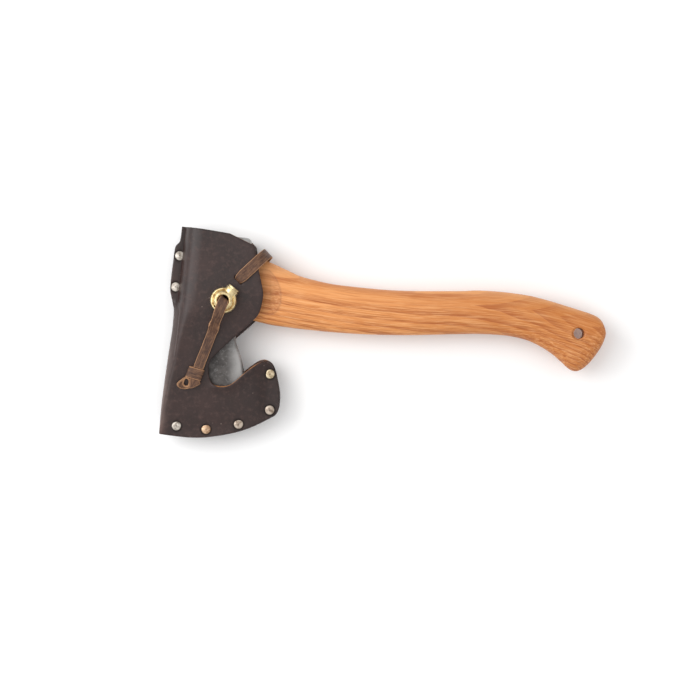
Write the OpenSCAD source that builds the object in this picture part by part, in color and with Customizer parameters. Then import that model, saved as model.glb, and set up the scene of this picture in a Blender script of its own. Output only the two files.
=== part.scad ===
// Carving hatchet in its leather sheath, lying on its side.
// Millimetres. +X runs along the handle away from the head, +Y towards the poll, +Z up.
// The origin is at the bottom centre of the whole object's box.

/* [Head] */
// Length of the bare head from poll to cutting edge
head_len = 174; // [170:1:178]
// Thickness of the head at the eye
head_t = 28; // [26:1:28]
// Radius of the cutting edge's arc
edge_r = 86.5; // [84:0.5:88]
// Forward tilt of the head against the handle, in degrees
head_tilt = 6; // [4:1:7]

/* [Eye] */
// Length of the eye's oval
eye_len = 49; // [44:1:50]
// Width of the eye's oval
eye_w = 17; // [15:0.5:18]
// Thickness of the wooden wedge at its outer end
wedge_t = 4.6; // [3:0.1:5]
// Outer diameter of the steel ring wedge
ring_d = 13; // [11:0.5:14]

/* [Handle] */
// Overall length of the object
overall_len = 411.5; // [411:0.1:412]
// Diameter of the hanging hole
hang_d = 10; // [8:0.5:11]
// Roundness of the handle's oval section, where 2 is an ellipse
handle_round = 2.4; // [2:0.1:3]

/* [Sheath] */
// Thickness of the sheath leather
leather_t = 3; // [2.5:0.1:3.2]
// Gap between the head and each panel, which the thong runs in
thong_gap = 2.8; // [2.7:0.1:3]

/* [Rivets] */
// Diameter of a rivet's head
rivet_head_d = 8.8; // [8:0.1:9.2]
// Diameter of a rivet's post
rivet_post_d = 3.2; // [2.8:0.1:3.6]
// Diameter of the burr on the far side
burr_d = 8; // [7:0.1:8.6]

/* [Cord lock] */
// Diameter of the lock's round body
lock_d = 24; // [23:0.5:25]
// Height of the lock's body
lock_h = 14; // [13.6:0.1:15]
// Diameter of the hole that the thong passes through
lock_hole_d = 9.4; // [9:0.1:10]
// Diameter of the plunger
plunger_d = 10.8; // [10.4:0.1:11]
// How far the button travels
button_travel = 2.2; // [1.6:0.1:2.4]

/* [Thong] */
// Thickness of the thong leather
thong_t = 2.2; // [2:0.1:2.4]
// Width of the thong where it loops over the handle
loop_w = 10.5; // [9:0.5:11]
// Width of the thong's free tail
tail_w = 9.4; // [8.5:0.1:10]

/* [Hidden] */

// Everything that belongs to the head is placed in the head's own frame: its
// origin is the eye's centre, u runs towards the handle, v towards the poll.
eye_x = -148;
eye_y = 38;
panel_in = head_t / 2 + thong_gap;
panel_out = panel_in + leather_t;
leg_clear = 0.15;
leg_out = panel_out + leg_clear + thong_t;
mid_z = leg_out;

// Head
edge_centre = [-15.4, -37.2];
edge_bottom = edge_centre[1] - edge_r;
poll_v = edge_bottom + head_len;
face_front = -31.5;
face_handle = 27;
toe_u = -37;
heel_v = -100;
blade_top = -22;
bevel_start = 0.92;
bevel_t = 2;
edge_half_t = 0.2;
cheek_power = 1.6;
// Inner curve of the beard, from the eye to the heel
beard = smooth([
    [27, -22], [21, -25.5], [17.2, -31], [16.8, -37], [18.8, -43.5],
    [24.4, -54.3], [30.4, -71.4], [36.6, -86], [44, -100]
], 3);
rows = len(beard) - 1;
cols = 12;

// Eye and wedges
eye_v = 2.5;
fit_gap = 0.05;
tongue_end = face_front - 0.8;
wedge_tip_u = 4;
wedge_tip_t = 0.8;
wedge_w = 38;
ring_depth = 12;
ring_wall = 1.4;

// Handle: stations of x, top y, bottom y and half thickness
stations = smooth([
    [-127, 69.5, 12.4, 10.5], [-112, 67.0, 8.5, 11.5], [-102, 63.5, 6.2, 12.2],
    [-88, 57.0, 4.2, 12.3], [-74, 50.8, 2.4, 12.0], [-48, 44.4, -0.2, 11.6],
    [-23, 41.2, -2.0, 11.4], [2, 38.8, -2.9, 11.4], [27, 37.7, -3.1, 11.6],
    [71, 37.6, -2.2, 12.0], [88, 38.1, -2.0, 12.2], [106, 37.2, -2.8, 12.4],
    [122, 35.4, -4.8, 12.5], [138, 32.8, -9.6, 12.6], [154, 28.6, -18.6, 12.8],
    [165, 25.3, -27.8, 13.0], [172, 23.1, -34.2, 13.1], [178, 21.2, -36.4, 13.2],
    [184, 19.3, -34.6, 13.1], [191, 17.0, -28.7, 12.6], [198, 13.9, -19.8, 11.6],
    [202.5, 9.6, -12.6, 10.2], [205, 4.0, -6.4, 8.2], [overall_len / 2, 0, -3, 6]
], 2);
section_sides = 24;
hang_at = [180.5, -1.6];
hang_wall = 23.2;
hang_chamfer = 1.6;

// Sheath outline in the head's frame, one flat panel seen from the near side
sheath_left = smooth([
    [-43.9, -134.4], [-44.3, -107], [-42.9, -64.7], [-41.7, -40], [-42.4, -20],
    [-45.6, -11.5], [-47.8, -4], [-48.2, 8], [-47.8, 22], [-47.2, 35.5], [-43.2, 41.5],
    [-42.7, 54.9]
], 3);
sheath_right = smooth([
    [22.9, 51.5], [27.2, 43.3], [32.0, 24], [36.6, 10], [39.2, -1], [37.4, -16],
    [32.0, -25], [18.3, -39.8], [4.2, -55.6], [-3.6, -66.5], [-3.0, -79.5],
    [3.6, -87.4], [16.7, -85.6], [29.2, -73.3], [39.4, -63.9], [46.5, -61.0],
    [53.8, -64.6], [60.2, -78], [63.7, -92], [62.9, -105.5], [55.6, -112.8],
    [32.0, -126.4], [4.2, -135], [-16.9, -137.9], [-42.3, -137.5]
], 4);
near_corner = [[-1.9, 56], [-1.9, 54.6], [22.9, 46.7], [34, 43], [34, 56]];
taper_tilt = 14;
taper_start = -12;
taper_end = -119;
seam_end = -124;
seam_half_t = leather_t + 0.1;
edge_seam_half_t = leather_t + 0.3;
edge_room = 1.4;
slit_w = 11.2;
slit_t = 2.8;

// Rivet centres and the height that each head is pressed down to
seat = seam_half_t - 0.2;
rivets = [
    [-41.6, 27.8, seat], [-42.4, -1.1, seat],
    [-28.3, -128.2, 4.1], [-0.9, -128.6, seat], [28.4, -120.8, seat],
    [55.6, -104.9, seat], [52.4, -71.9, seat]
];
rivet_dome = 1.3;
burr_t = 1;
peen_d = 4.6;
post_gap = 0.05;

// Cord lock
lock_at = [4, -9.2];
lock_base = panel_out + 0.1;
button_angle = 56;
plunger_z = lock_h / 2;
bore_d = plunger_d + 0.16;
bore_end = -9.4;
plunger_end = -2.2;
boss_end = 12.4;
cap_t = 1.6;
cap_d = 13.2;
cap_gap = button_travel + 0.3;
riser_w = 7.5;
riser_p = 1.6;
slot_start = riser_p - thong_t / 2 - 0.05;
slot_end = 5.2;
slot_w = 8;
spring_wire = 0.8;
spring_r = 4.3;
spring_turns = 3.5;

// Thong
slit_at = [15.3, 11];
loop_angle = 49;
loop_reach = 37;
loop_corner = 8;
under_w = 9;
under_z = head_t / 2 + 0.3;
tab_len = 13;
rim_z = 35.4;
// Centre line of the free tail, in the head's frame
tail_route = [
    [3.4, -13.5, 35.4], [2.1, -18.3, 35.0], [0.9, -22.7, 33.3], [-0.2, -26.5, 30.5],
    [-1.1, -29.9, 27.2], [-1.9, -32.8, 24.2], [-3.0, -36.6, 20.9], [-3.8, -39.5, 19.2],
    [-4.8, -43.4, 17.9], [-6.2, -48.2, 17.1], [-7.5, -53.0, 16.6], [-8.8, -57.8, 16.2],
    [-10.2, -62.7, 15.9], [-11.5, -67.5, 15.6], [-12.8, -72.3, 15.3]
];
tail_angle = 254.6;
tail_sides = 8;
knot_len = 11;
knot_w = 13;
knot_t = 5.4;
tip_len = 12;
tip_w = 15;

// Catmull-Rom curve through hand-placed points, n steps to a span
function smooth(pts, n) = [
    for (i = [0:len(pts) - 2])
        for (k = [0:n - 1])
            spline(pts[max(i - 1, 0)], pts[i], pts[i + 1], pts[min(i + 2, len(pts) - 1)], k / n),
    pts[len(pts) - 1]
];
function spline(a, b, c, d, t) =
    0.5 * (2 * b + (c - a) * t + (2 * a - 5 * b + 4 * c - d) * t * t
        + (3 * b - a - 3 * c + d) * t * t * t);
// A half section and its mirror image, as one outline
function mirrored(half) = concat(
    half,
    [for (i = [len(half) - 1:-1:0]) [half[i][0], -half[i][1]]]
);
function unit(a) = a / norm(a);
function sgn_pow(a, p) = sign(a) * pow(abs(a), p);

// Faces of a closed tube made of equal rings of points
function tube_faces(ring_count, sides) = concat(
    [for (i = [0:ring_count - 2]) for (k = [0:sides - 1])
        [i * sides + k, (i + 1) * sides + k, (i + 1) * sides + (k + 1) % sides]],
    [for (i = [0:ring_count - 2]) for (k = [0:sides - 1])
        [i * sides + k, (i + 1) * sides + (k + 1) % sides, i * sides + (k + 1) % sides]],
    [[for (k = [0:sides - 1]) k]],
    [[for (k = [sides - 1:-1:0]) (ring_count - 1) * sides + k]]
);

module in_head()
    translate([eye_x, eye_y, mid_z])
        rotate([0, 0, -head_tilt])
            children();

module oval(len, w)
    union() {
        square([len - w, w], center = true);
        for (side = [-1, 1])
            translate([side * (len - w) / 2, 0])
                circle(d = w, $fn = 48);
    }

// An outline of u and z, drawn out along v
module along_v(from, to)
    translate([0, to, 0])
        rotate([90, 0, 0])
            linear_extrude(to - from)
                children();

// An outline of v and z, drawn out along u
module along_u(from, to)
    translate([from, 0, 0])
        rotate([90, 0, 90])
            linear_extrude(to - from)
                children();

module eye_hole(gap)
    along_u(face_front - 10, face_handle + 10)
        translate([eye_v, 0])
            oval(eye_len + 2 * gap, eye_w + 2 * gap);

// ---- Head -------------------------------------------------------------

function blade_t(t) = t < bevel_start
    ? bevel_t + (head_t / 2 - bevel_t) * pow(1 - t / bevel_start, cheek_power)
    : bevel_t + (edge_half_t - bevel_t) * (t - bevel_start) / (1 - bevel_start);
function blade_fall(v) = (blade_top - v) / (blade_top - heel_v);
function front_u(t) = face_front + (toe_u - face_front) * pow(t, 1.5);
function edge_v(u) = edge_centre[1] - sqrt(edge_r * edge_r - pow(u - edge_centre[0], 2));
// One point of the blade: row i runs down from the eye, column k from front to beard
function blade_point(i, k, side) =
    let (
        t = blade_fall(beard[i][1]),
        u = front_u(t) + (beard[i][0] - front_u(t)) * k / cols,
        v = blade_top + (edge_v(u) - blade_top) * t
    )
    [u, v, side * blade_t(t)];

module blade() {
    wide = cols + 1;
    near = [for (i = [0:rows]) for (k = [0:cols]) blade_point(i, k, 1)];
    far = [for (i = [0:rows]) for (k = [0:cols]) blade_point(i, k, -1)];
    base = len(near);
    quads = concat(
        [for (i = [0:rows - 1]) for (k = [0:cols - 1])
            [i * wide + k, i * wide + k + 1, (i + 1) * wide + k + 1, (i + 1) * wide + k]],
        [for (i = [0:rows - 1]) for (k = [0:cols - 1])
            [base + i * wide + k, base + (i + 1) * wide + k,
             base + (i + 1) * wide + k + 1, base + i * wide + k + 1]],
        [for (i = [0:rows - 1])
            [i * wide, (i + 1) * wide, base + (i + 1) * wide, base + i * wide]],
        [for (i = [0:rows - 1])
            [i * wide + cols, base + i * wide + cols,
             base + (i + 1) * wide + cols, (i + 1) * wide + cols]],
        [for (k = [0:cols - 1])
            [rows * wide + k, rows * wide + k + 1,
             base + rows * wide + k + 1, base + rows * wide + k]],
        [for (k = [0:cols - 1])
            [k, base + k, base + k + 1, k + 1]]
    );
    triangles = [for (q = quads) each [[q[0], q[1], q[2]], [q[0], q[2], q[3]]]];
    polyhedron(concat(near, far), triangles, convexity = 6);
}

module eye_block()
    intersection() {
        linear_extrude(head_t, center = true)
            polygon([
                [face_front, blade_top], [face_handle, blade_top], [face_handle, 26],
                [23.5, 31], [22.5, poll_v - 3], [19.5, poll_v],
                [face_front + 3, poll_v], [face_front, poll_v - 3]
            ]);
        along_u(face_front - 1, face_handle + 1)
            polygon(mirrored([
                [blade_top, head_t / 2], [28, head_t / 2],
                [poll_v - 2, head_t / 2 - 1], [poll_v, head_t / 2 - 3]
            ]));
    }

module axe_head()
    color("dimgray")
        in_head()
            difference() {
                union() {
                    eye_block();
                    blade();
                }
                eye_hole(fit_gap);
            }

// ---- Handle and wedges ------------------------------------------------

function section_point(s, angle) = [
    s[0],
    (s[1] + s[2]) / 2 + (s[1] - s[2]) / 2 * sgn_pow(cos(angle), 2 / handle_round),
    mid_z + s[3] * sgn_pow(sin(angle), 2 / handle_round)
];

module grip()
    polyhedron(
        [for (s = stations) for (k = [0:section_sides - 1])
            section_point(s, (k + 0.5) * 360 / section_sides)],
        tube_faces(len(stations), section_sides),
        convexity = 4
    );

module hanging_hole()
    translate([hang_at[0], hang_at[1], mid_z]) {
        cylinder(d = hang_d, h = 2 * head_t, center = true, $fn = 48);
        for (side = [0, 1])
            mirror([0, 0, side])
                translate([0, 0, hang_wall / 2])
                    cylinder(d1 = hang_d, d2 = hang_d + 4 * hang_chamfer, h = 2 * hang_chamfer, $fn = 48);
    }

module wedge_shape()
    along_v(eye_v - wedge_w / 2, eye_v + wedge_w / 2)
        polygon([
            [tongue_end, -wedge_t / 2], [tongue_end, wedge_t / 2],
            [wedge_tip_u, wedge_tip_t / 2], [wedge_tip_u, -wedge_tip_t / 2]
        ]);

module ring_shape()
    along_u(tongue_end, tongue_end + ring_depth)
        translate([eye_v, 0])
            difference() {
                circle(d = ring_d, $fn = 48);
                circle(d = ring_d - 2 * ring_wall, $fn = 48);
            }

module handle()
    color("burlywood")
        difference() {
            union() {
                difference() {
                    grip();
                    in_head()
                        translate([face_handle - 99.8, -100, -50])
                            cube([100, 200, 100]);
                }
                in_head()
                    along_u(tongue_end, face_handle + 3)
                        translate([eye_v, 0])
                            oval(eye_len, eye_w);
            }
            hanging_hole();
            in_head() {
                wedge_shape();
                ring_shape();
            }
        }

module eye_wedge()
    color("tan")
        in_head()
            difference() {
                wedge_shape();
                ring_shape();
            }

module ring_wedge()
    color("gray")
        in_head()
            ring_shape();

// ---- Sheath -----------------------------------------------------------

// Half section across v: the leather closes on the fold or flange at the front
// and on the heel pocket's seam at the back
module across(inner)
    along_v(-150, 70)
        polygon(mirrored(inner
            ? [[-38, 0.1], [-37.2, 1.6], [-35.5, 4.4], [-33.7, 8], [-32.2, 14],
               [-31, panel_in], [40.4, panel_in], [42, 9.5], [47, 0.1]]
            : [[-60, seam_half_t], [-38.6, seam_half_t], [-37.6, 4.4], [-36.6, 8],
               [-35.4, 14.4], [-34, 18.2], [-31.6, panel_out], [42, panel_out],
               [44.5, 12.5], [49, seam_half_t], [70, seam_half_t]]));

// Half section down v: full height over the eye, then a taper to the edge seam
module down(inner)
    rotate([0, 0, taper_tilt])
        along_u(-120, 120)
            polygon(mirrored(inner
                ? [[-150, edge_room], [taper_end, edge_room], [taper_start, panel_in],
                   [90, panel_in]]
                : [[-170, edge_seam_half_t], [seam_end, edge_seam_half_t],
                   [taper_end, edge_room + leather_t], [taper_start, panel_out],
                   [90, panel_out]]));

module sheath_panel_outline()
    polygon(concat(sheath_left, sheath_right));

module cavity_outline()
    union() {
        intersection() {
            translate(edge_centre)
                circle(r = edge_r + 1, $fn = 180);
            translate([-60, -150])
                square([120, 145]);
        }
        translate([-60, -20])
            square([140, 90]);
    }

module slit(side)
    translate([slit_at[0], slit_at[1], side * (panel_in + leather_t / 2)])
        rotate([0, 0, loop_angle])
            cube([slit_t, slit_w, leather_t + 2], center = true);

module sheath_leather()
    color([0.29, 0.22, 0.21])
        in_head()
            difference() {
                intersection() {
                    linear_extrude(4 * panel_out, center = true)
                        sheath_panel_outline();
                    across(false);
                    down(false);
                }
                intersection() {
                    linear_extrude(4 * panel_out, center = true)
                        cavity_outline();
                    across(true);
                    down(true);
                }
                linear_extrude(panel_out + 1)
                    polygon(near_corner);
                slit(1);
                slit(-1);
                translate([lock_at[0], lock_at[1], panel_in - 1])
                    cylinder(d = lock_hole_d, h = leather_t + 2, $fn = 48);
                for (r = rivets)
                    translate([r[0], r[1], 0]) {
                        cylinder(d = rivet_post_d + 2 * post_gap, h = 30, center = true, $fn = 32);
                        translate([0, 0, r[2]])
                            cylinder(d = rivet_head_d + 0.6, h = 5, $fn = 48);
                        translate([0, 0, -r[2] - 5])
                            cylinder(d = burr_d + 0.6, h = 5, $fn = 48);
                    }
            }

// ---- Rivets -----------------------------------------------------------

// Post and domed near head of rivet i
module rivet(i)
    color([0.72, 0.6, 0.47])
        in_head()
            translate([rivets[i][0], rivets[i][1], 0]) {
                rotate_extrude($fn = 48)
                    polygon([
                        [0, -rivets[i][2] - burr_t], [rivet_post_d / 2, -rivets[i][2] - burr_t],
                        [rivet_post_d / 2, rivets[i][2]], [rivet_head_d / 2, rivets[i][2]],
                        [rivet_head_d / 2, rivets[i][2] + 0.4],
                        for (a = [15:15:75])
                            [rivet_head_d / 2 * cos(a), rivets[i][2] + 0.4 + (rivet_dome - 0.4) * sin(a)],
                        [0, rivets[i][2] + rivet_dome]
                    ]);
                translate([0, 0, -rivets[i][2] - burr_t - 0.6])
                    cylinder(d1 = peen_d - 1.2, d2 = peen_d, h = 0.6, $fn = 32);
            }

// Burr that the post is peened over, on the far side
module burr(i)
    color([0.75, 0.56, 0.42])
        in_head()
            translate([rivets[i][0], rivets[i][1], -rivets[i][2] - burr_t])
                difference() {
                    cylinder(d = burr_d, h = burr_t, $fn = 48);
                    translate([0, 0, -1])
                        cylinder(d = rivet_post_d + 2 * post_gap, h = burr_t + 2, $fn = 32);
                }

// ---- Cord lock --------------------------------------------------------

module in_lock()
    in_head()
        translate([lock_at[0], lock_at[1], lock_base])
            rotate([0, 0, button_angle])
                children();

// A cylinder along the button's axis
module along_button(d, from, to)
    translate([from, 0, plunger_z])
        rotate([0, 90, 0])
            cylinder(d = d, h = to - from, $fn = 48);

module lock_body()
    color([0.8, 0.68, 0.42])
        in_lock()
            difference() {
                union() {
                    rotate_extrude($fn = 96)
                        polygon([
                            [0, 0], [lock_d / 2 - 2, 0], [lock_d / 2 - 0.8, 1],
                            [lock_d / 2, 4], [lock_d / 2, lock_h - 5],
                            [lock_d / 2 - 0.6, lock_h - 3.2], [lock_d / 2 - 1.8, lock_h - 2.6],
                            [lock_d / 2 - 2.4, lock_h - 2.9], [lock_d / 2 - 3, lock_h - 2],
                            [lock_d / 2 - 4, lock_h - 0.7], [lock_d / 2 - 5.2, lock_h],
                            [lock_hole_d / 2 + 0.9, lock_h], [lock_hole_d / 2, lock_h - 0.9],
                            [0, lock_h - 0.9]
                        ]);
                    along_button(13, 6, boss_end);
                }
                translate([0, 0, -1])
                    cylinder(d = lock_hole_d, h = lock_h + 2, $fn = 48);
                along_button(bore_d, bore_end, boss_end + 1);
            }

module lock_plunger()
    color([0.82, 0.71, 0.45])
        in_lock()
            difference() {
                union() {
                    along_button(plunger_d, plunger_end, boss_end + cap_gap);
                    along_button(cap_d, boss_end + cap_gap, boss_end + cap_gap + cap_t);
                }
                translate([slot_start, -slot_w / 2, -1])
                    cube([slot_end - slot_start, slot_w, lock_h + 2]);
            }

module lock_spring() {
    ring = 6;
    steps = 14;
    rings = spring_turns * steps;
    first = bore_end + spring_wire / 2 + 0.05;
    last = plunger_end - spring_wire / 2 - 0.05;
    color("silver")
        in_lock()
            polyhedron(
                [for (i = [0:rings]) for (k = [0:ring - 1])
                    let (
                        turn = i * 360 / steps,
                        arm = spring_r + spring_wire / 2 * cos(k * 360 / ring)
                    )
                    [first + (last - first) * i / rings + spring_wire / 2 * sin(k * 360 / ring),
                     arm * cos(turn), plunger_z + arm * sin(turn)]],
                tube_faces(rings + 1, ring),
                convexity = 8
            );
}

// ---- Thong ------------------------------------------------------------

// The band that goes round the back of the handle, as an outline of reach and z
module loop_band()
    difference() {
        hull() {
            translate([-slit_t / 2 + 0.3, -leg_out])
                square([1, 2 * leg_out]);
            for (side = [-1, 1])
                translate([loop_reach - loop_corner, side * (leg_out - loop_corner)])
                    circle(r = loop_corner, $fn = 48);
        }
        hull() {
            translate([-slit_t, thong_t - leg_out])
                square([1, 2 * (leg_out - thong_t)]);
            for (side = [-1, 1])
                translate([loop_reach - loop_corner, side * (leg_out - loop_corner)])
                    circle(r = loop_corner - thong_t, $fn = 48);
        }
    }

module thong_loop() {
    run = slit_at - lock_at;
    riser = [riser_p * cos(button_angle), riser_p * sin(button_angle)];
    color([0.41, 0.29, 0.21])
        in_head() {
            translate([slit_at[0], slit_at[1], 0])
                rotate([0, 0, loop_angle]) {
                    rotate([90, 0, 0])
                        linear_extrude(loop_w, center = true)
                            loop_band();
                    for (side = [0, 1])
                        mirror([0, 0, side])
                            translate([-thong_t / 2, -loop_w / 2, under_z])
                                cube([thong_t, loop_w, leg_out - under_z - 1]);
                    translate([-tab_len + thong_t / 2, -loop_w / 2, -under_z - thong_t])
                        cube([tab_len, loop_w, thong_t]);
                }
            translate([lock_at[0], lock_at[1], under_z])
                rotate([0, 0, atan2(run[1], run[0])])
                    translate([-thong_t, -under_w / 2, 0])
                        cube([norm(run) + thong_t, under_w, thong_t]);
            translate([lock_at[0] + riser[0], lock_at[1] + riser[1], under_z])
                rotate([0, 0, button_angle])
                    translate([-thong_t / 2, -riser_w / 2, 0])
                        cube([thong_t, riser_w, rim_z - under_z]);
            hull() {
                translate([lock_at[0] + riser[0], lock_at[1] + riser[1], rim_z - thong_t / 2])
                    rotate([0, 0, button_angle])
                        translate([-thong_t / 2, -riser_w / 2, 0])
                            cube([thong_t, riser_w, thong_t]);
                translate(tail_route[0])
                    rotate([0, 0, tail_angle])
                        translate([-0.5, -riser_w / 2 - 0.3, -thong_t / 2])
                            cube([0.5, riser_w + 0.6, thong_t]);
            }
        }
}

// Width of the tail at route point i: pinched beside the lock, full further on
function tail_width(i) = min(tail_w, riser_w + 0.6 + 0.5 * i);
function tail_dir(i) = unit(tail_route[min(i + 1, len(tail_route) - 1)] - tail_route[max(i - 1, 0)]);
function tail_ring(i) =
    let (
        dir = i == 0 ? [cos(tail_angle), sin(tail_angle), 0]
            : i == len(tail_route) - 1 ? [cos(tail_angle), sin(tail_angle), 0]
            : tail_dir(i),
        side = unit(cross([0, 0, 1], dir)),
        up = cross(dir, side),
        w = tail_width(i) / 2,
        h = thong_t / 2
    )
    [for (c = [[1, 0.5], [0.9, 1], [-0.9, 1], [-1, 0.5], [-1, -0.5], [-0.9, -1], [0.9, -1], [1, -0.5]])
        tail_route[i] + side * c[0] * w + up * c[1] * h];

module thong_tail()
    color([0.41, 0.29, 0.21])
        in_head()
            polyhedron(
                [for (i = [0:len(tail_route) - 1]) each tail_ring(i)],
                tube_faces(len(tail_route), tail_sides)
            );

// Places a shape at the end of the tail, with x running on along the thong
module at_tail_end()
    in_head()
        translate(tail_route[len(tail_route) - 1])
            rotate([0, 0, tail_angle])
                children();

module thong_knot()
    color([0.38, 0.27, 0.2])
        at_tail_end()
            translate([0, 0, -knot_t / 2])
                linear_extrude(knot_t)
                    translate([0, -knot_w / 2])
                        square([knot_len, knot_w]);

module thong_tip()
    color([0.45, 0.31, 0.21])
        at_tail_end()
            translate([knot_len, 0, -knot_t / 2])
                linear_extrude(2 * thong_t)
                    difference() {
                        polygon([
                            [0, -5], [0, 5], [4.5, tip_w / 2], [7.5, 4.5], [tip_len, 1],
                            [tip_len, -3], [7, -tip_w / 2]
                        ]);
                        translate([5.6, 0.4])
                            circle(d = 4, $fn = 24);
                    }

axe_head();
handle();
eye_wedge();
ring_wedge();
sheath_leather();
rivet(0);  // flange_rivet_1
rivet(1);  // flange_rivet_2
rivet(2);  // edge_rivet_1
rivet(3);  // edge_rivet_2
rivet(4);  // edge_rivet_3
rivet(5);  // heel_rivet_1
rivet(6);  // heel_rivet_2
burr(0);  // flange_burr_1
burr(1);  // flange_burr_2
burr(2);  // edge_burr_1
burr(3);  // edge_burr_2
burr(4);  // edge_burr_3
burr(5);  // heel_burr_1
burr(6);  // heel_burr_2
lock_body();
lock_plunger();
lock_spring();
thong_loop();
thong_tail();
thong_knot();
thong_tip();
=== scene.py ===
import math

import bmesh
import bpy
import numpy as np
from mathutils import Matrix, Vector, noise
from mathutils.geometry import delaunay_2d_cdt

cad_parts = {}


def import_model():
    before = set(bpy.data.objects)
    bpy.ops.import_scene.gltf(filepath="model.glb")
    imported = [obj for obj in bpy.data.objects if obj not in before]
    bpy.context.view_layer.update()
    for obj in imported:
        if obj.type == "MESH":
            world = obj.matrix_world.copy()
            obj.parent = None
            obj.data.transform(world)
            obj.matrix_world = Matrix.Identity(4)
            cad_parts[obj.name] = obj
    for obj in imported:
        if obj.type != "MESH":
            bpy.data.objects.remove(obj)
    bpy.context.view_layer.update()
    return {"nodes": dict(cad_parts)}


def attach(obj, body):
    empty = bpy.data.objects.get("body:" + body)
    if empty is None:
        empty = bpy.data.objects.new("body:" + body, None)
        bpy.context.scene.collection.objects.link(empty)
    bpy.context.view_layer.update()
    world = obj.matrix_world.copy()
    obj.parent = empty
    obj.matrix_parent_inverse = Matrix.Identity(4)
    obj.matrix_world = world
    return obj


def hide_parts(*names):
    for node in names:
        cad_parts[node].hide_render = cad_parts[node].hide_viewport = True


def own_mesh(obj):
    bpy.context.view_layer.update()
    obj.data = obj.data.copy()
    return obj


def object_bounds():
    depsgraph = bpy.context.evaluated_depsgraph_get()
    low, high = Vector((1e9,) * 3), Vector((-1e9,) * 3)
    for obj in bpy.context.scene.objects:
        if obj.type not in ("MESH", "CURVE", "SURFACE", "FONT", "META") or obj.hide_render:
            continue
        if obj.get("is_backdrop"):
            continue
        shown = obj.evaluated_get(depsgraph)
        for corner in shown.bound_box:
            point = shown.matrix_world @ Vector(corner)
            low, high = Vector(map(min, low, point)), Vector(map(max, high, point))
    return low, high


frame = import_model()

# ---- Shared sizes, in millimetres, as in part.scad ----------------------------------

MM = 0.001
EYE = np.array([-148.0, 38.0, 22.15])
TILT = math.radians(6)
HANG = np.array([180.5, -1.6, 22.15])
# u, v, the height of the head's seat, and the metal
RIVETS = {
    "flange_rivet_1": (-41.6, 27.8, 2.9, "nickel"), "flange_rivet_2": (-42.4, -1.1, 2.9, "nickel"),
    "edge_rivet_1": (-28.3, -128.2, 4.1, "nickel"), "edge_rivet_2": (-0.9, -128.6, 2.9, "copper"),
    "edge_rivet_3": (28.4, -120.8, 2.9, "rose"), "heel_rivet_1": (55.6, -104.9, 2.9, "rose"),
    "heel_rivet_2": (52.4, -71.9, 2.9, "straw"),
}
LOCK = (4.0, -9.2, 19.9)
BUTTON = math.radians(56)
SLIT = (15.3, 11.0)
STRAP = math.radians(49)
TAIL_ANGLE = math.radians(254.6)
TAIL_ROUTE = [
    [3.4, -13.5, 35.4], [2.1, -18.3, 35.0], [0.9, -22.7, 33.3], [-0.2, -26.5, 30.5],
    [-1.1, -29.9, 27.2], [-1.9, -32.8, 24.2], [-3.0, -36.6, 20.9], [-3.8, -39.5, 19.2],
    [-4.8, -43.4, 17.9], [-6.2, -48.2, 17.1], [-7.5, -53.0, 16.6], [-8.8, -57.8, 16.2],
    [-10.2, -62.7, 15.9], [-11.5, -67.5, 15.6], [-12.8, -72.3, 15.3],
]


def world(points):
    """Points of the head's frame (u, v, z in millimetres) as row frame metres."""
    p = np.asarray(points, float).reshape(-1, 3)
    c, s = math.cos(TILT), math.sin(TILT)
    out = np.column_stack([p[:, 0] * c + p[:, 1] * s, p[:, 1] * c - p[:, 0] * s, p[:, 2]])
    return (out + EYE) * MM


def spline(points, steps):
    """Catmull-Rom curve through the points, with that many steps to a span."""
    p = np.asarray(points, float)
    ends = np.vstack([2 * p[0] - p[1], p, 2 * p[-1] - p[-2]])
    out = []
    for i in range(len(p) - 1):
        a, b, c, d = ends[i:i + 4]
        for k in range(steps):
            t = k / steps
            out.append(0.5 * (2 * b + (c - a) * t + (2 * a - 5 * b + 4 * c - d) * t * t
                              + (3 * b - a - 3 * c + d) * t ** 3))
    return np.array(out + [p[-1]])


def step(x, low, high):
    """0 below low, 1 above high and eased between them."""
    t = np.clip((np.asarray(x, float) - low) / (high - low), 0, 1)
    return t * t * (3 - 2 * t)


def wobble(p, scale, seed=0.0):
    """Smooth noise from -1 to 1 at points in millimetres."""
    return np.array([noise.noise(Vector((q[0] / scale + seed, q[1] / scale, q[2] / scale)))
                     for q in np.asarray(p, float)])


# ---- Camera -------------------------------------------------------------------------

PICTURE_WIDTH = 0.6458
CAMERA_HEIGHT = 2.2
SENSOR = 36
camera = bpy.data.objects.new("camera", bpy.data.cameras.new("camera"))
camera.data.sensor_width = SENSOR
camera.data.lens = SENSOR * CAMERA_HEIGHT / PICTURE_WIDTH
camera.location = (-0.0297, -0.0168, EYE[2] * MM + CAMERA_HEIGHT)
bpy.context.scene.collection.objects.link(camera)
bpy.context.scene.camera = camera

# ---- Node materials -----------------------------------------------------------------


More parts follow.
